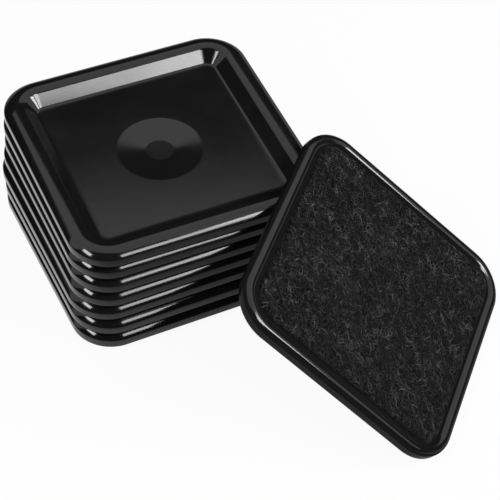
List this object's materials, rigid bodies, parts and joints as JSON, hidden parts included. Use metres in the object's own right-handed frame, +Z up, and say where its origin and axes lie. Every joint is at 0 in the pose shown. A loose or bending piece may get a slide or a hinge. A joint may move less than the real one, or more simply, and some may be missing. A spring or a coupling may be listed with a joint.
{
  "type": "furniture slider set",
  "caption": "Square furniture sliders: shallow glossy plastic cups with felt soles, stacked cup upwards, and a further slider leaning on the stack upside down to show its felt.",
  "frame": {"origin": "middle of the lowest slider's felt face, on the ground", "axes": "+Z up, out of the stacked cups; +X to the right along the lowest cup's front side; +Y to the back"},
  "size_m": [0.1622, 0.1999, 0.064],
  "materials": {
    "cup": "polished black moulding",
    "felt": "needled charcoal felt",
    "glue": "cured adhesive film"
  },
  "bodies": {
    "slider_1": {"cup_1": "cup", "felt_pad_1": "felt", "glue_film_1": "glue"},
    "slider_2": {"cup_2": "cup", "felt_pad_2": "felt", "glue_film_2": "glue"},
    "slider_3": {"cup_3": "cup", "felt_pad_3": "felt", "glue_film_3": "glue"},
    "slider_4": {"cup_4": "cup", "felt_pad_4": "felt", "glue_film_4": "glue"},
    "slider_5": {"cup_5": "cup", "felt_pad_5": "felt", "glue_film_5": "glue"},
    "slider_6": {"cup_6": "cup", "felt_pad_6": "felt", "glue_film_6": "glue"},
    "slider_7": {"cup_7": "cup", "felt_pad_7": "felt", "glue_film_7": "glue"},
    "slider_8": {"cup_8": "cup", "felt_pad_8": "felt", "glue_film_8": "glue"}
  },
  "joints": [
    {"name": "lift_2", "type": "slide", "parent": "slider_1", "child": "slider_2", "axis": [0, 0, 1], "range_m": [0, 0.03]},
    {"name": "lift_3", "type": "slide", "parent": "slider_2", "child": "slider_3", "axis": [0, 0, 1], "range_m": [0, 0.03]},
    {"name": "lift_4", "type": "slide", "parent": "slider_3", "child": "slider_4", "axis": [0, 0, 1], "range_m": [0, 0.03]},
    {"name": "lift_5", "type": "slide", "parent": "slider_4", "child": "slider_5", "axis": [0, 0, 1], "range_m": [0, 0.03]},
    {"name": "lift_6", "type": "slide", "parent": "slider_5", "child": "slider_6", "axis": [0, 0, 1], "range_m": [0, 0.03]},
    {"name": "lift_7", "type": "slide", "parent": "slider_6", "child": "slider_7", "axis": [0, 0, 1], "range_m": [0, 0.03]},
    {"name": "tip_8", "type": "hinge", "parent": "slider_7", "child": "slider_8", "pos_m": [0.07847, -0.11509, 0.00349], "axis": [0.6972, 0.7169, 0], "range_deg": [0, 143.3]}
  ]
}
